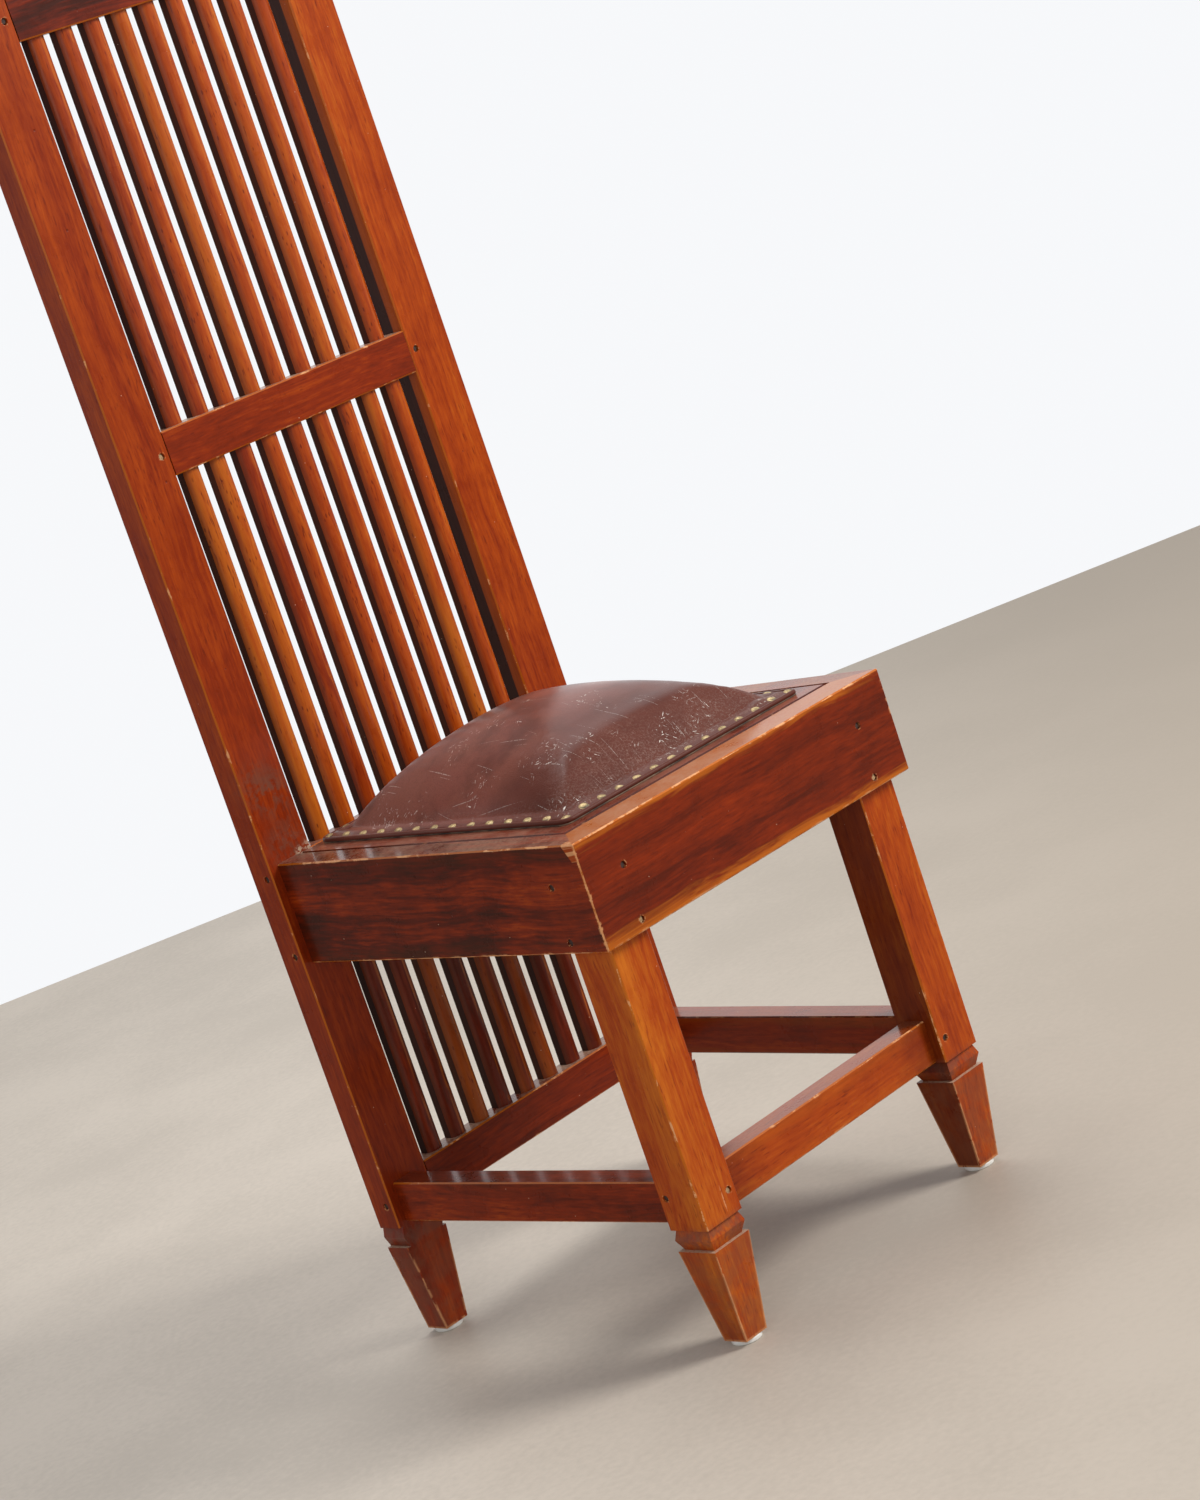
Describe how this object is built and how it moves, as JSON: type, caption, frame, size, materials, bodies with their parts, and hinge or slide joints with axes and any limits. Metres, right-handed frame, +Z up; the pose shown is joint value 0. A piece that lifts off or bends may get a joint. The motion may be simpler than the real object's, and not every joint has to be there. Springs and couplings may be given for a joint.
{
  "type": "side chair",
  "caption": "High-backed side chair of red-brown varnished hardwood with slim spindles between square posts, and a drop-in seat in dark leather edged with brass nails.",
  "frame": {"origin": "on the floor, midway between the front apron's face and the backs of the back posts, on the chair's centre line", "axes": "+Z up, the chair faces -Y, and -X is the left side seen from the front"},
  "size_m": [0.383, 0.401, 1.1963],
  "materials": {
    "varnished_wood": "glossy red-brown varnish, worn pale along the edges",
    "plain_wood": "dark, dull wood",
    "glide_plastic": "off-white moulded plastic",
    "screw_steel": "dull steel",
    "board": "plain thin board",
    "stuffing": "pressed fibre stuffing",
    "leather": "dark brown leather, scratched and slightly glossy",
    "nail_brass": "tarnished brass domed nail heads"
  },
  "bodies": {
    "frame": {"left_post": "varnished_wood", "right_post": "varnished_wood", "front_left_leg": "varnished_wood", "front_right_leg": "varnished_wood", "crest_rail": "varnished_wood", "middle_rail": "varnished_wood", "back_seat_rail": "varnished_wood", "bottom_rail": "varnished_wood", "left_apron": "varnished_wood", "right_apron": "varnished_wood", "front_apron": "varnished_wood", "left_stretcher": "varnished_wood", "right_stretcher": "varnished_wood", "front_stretcher": "varnished_wood", "lower_spindle_1": "varnished_wood", "lower_spindle_2": "varnished_wood", "lower_spindle_3": "varnished_wood", "lower_spindle_4": "varnished_wood", "lower_spindle_5": "varnished_wood", "lower_spindle_6": "varnished_wood", "lower_spindle_7": "varnished_wood", "lower_spindle_8": "varnished_wood", "lower_spindle_9": "varnished_wood", "middle_spindle_1": "varnished_wood", "middle_spindle_2": "varnished_wood", "middle_spindle_3": "varnished_wood", "middle_spindle_4": "varnished_wood", "middle_spindle_5": "varnished_wood", "middle_spindle_6": "varnished_wood", "middle_spindle_7": "varnished_wood", "middle_spindle_8": "varnished_wood", "middle_spindle_9": "varnished_wood", "upper_spindle_1": "varnished_wood", "upper_spindle_2": "varnished_wood", "upper_spindle_3": "varnished_wood", "upper_spindle_4": "varnished_wood", "upper_spindle_5": "varnished_wood", "upper_spindle_6": "varnished_wood", "upper_spindle_7": "varnished_wood", "upper_spindle_8": "varnished_wood", "upper_spindle_9": "varnished_wood", "back_left_block": "plain_wood", "back_right_block": "plain_wood", "front_left_block": "plain_wood", "front_right_block": "plain_wood", "pegs": "plain_wood", "back_left_glide": "glide_plastic", "back_right_glide": "glide_plastic", "front_left_glide": "glide_plastic", "front_right_glide": "glide_plastic", "block_screws": "screw_steel"},
    "seat": {"seat_frame_front": "varnished_wood", "seat_frame_back": "varnished_wood", "seat_frame_left": "varnished_wood", "seat_frame_right": "varnished_wood", "seat_board": "board", "seat_stuffing": "stuffing", "leather_cover": "leather", "brass_nails": "nail_brass"}
  },
  "joints": [
    {"name": "seat_lift", "type": "slide", "parent": "frame", "child": "seat", "axis": [0, 0, 1], "range_m": [0, 0.065]}
  ]
}
